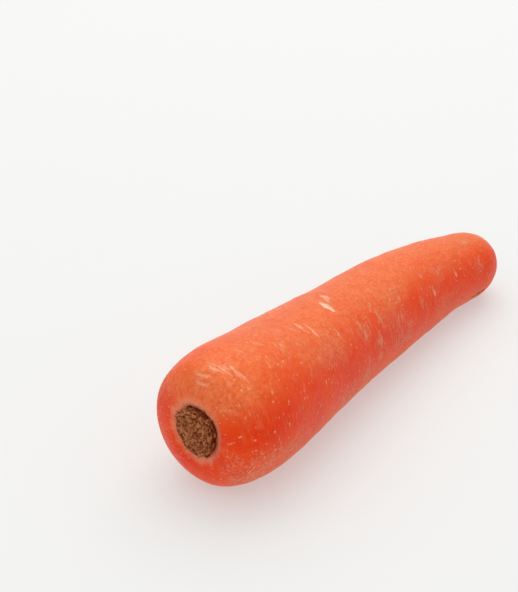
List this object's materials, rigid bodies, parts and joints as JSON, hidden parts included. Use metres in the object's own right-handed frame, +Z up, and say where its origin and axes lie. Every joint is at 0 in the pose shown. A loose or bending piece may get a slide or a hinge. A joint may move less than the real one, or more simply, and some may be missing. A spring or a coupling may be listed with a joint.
{
  "type": "carrot",
  "caption": "Fat, blunt-tipped fresh carrot with its leaves cut off: smooth orange taproot with a dry brown crown, lying on its side.",
  "frame": {"origin": "centre of the outline box, on the surface that the carrot lies on", "axes": "+X from the crown to the blunt tip, +Z up, +Y to the side that the root bows towards"},
  "size_m": [0.1836, 0.0496, 0.0495],
  "materials": {
    "carrot_skin": "satin, slightly moist vegetable skin",
    "dry_crown": "dry, corky and pitted",
    "dry_leaf_stalk": "dry, torn and fibrous"
  },
  "bodies": {
    "root": {"taproot": "carrot_skin", "crown_stub": "dry_crown", "leaf_stalk_base_1": "dry_leaf_stalk", "leaf_stalk_base_2": "dry_leaf_stalk", "leaf_stalk_base_3": "dry_leaf_stalk", "leaf_stalk_base_4": "dry_leaf_stalk", "leaf_stalk_base_5": "dry_leaf_stalk", "leaf_stalk_base_6": "dry_leaf_stalk", "leaf_stalk_base_7": "dry_leaf_stalk", "leaf_stalk_base_8": "dry_leaf_stalk"}
  },
  "joints": []
}
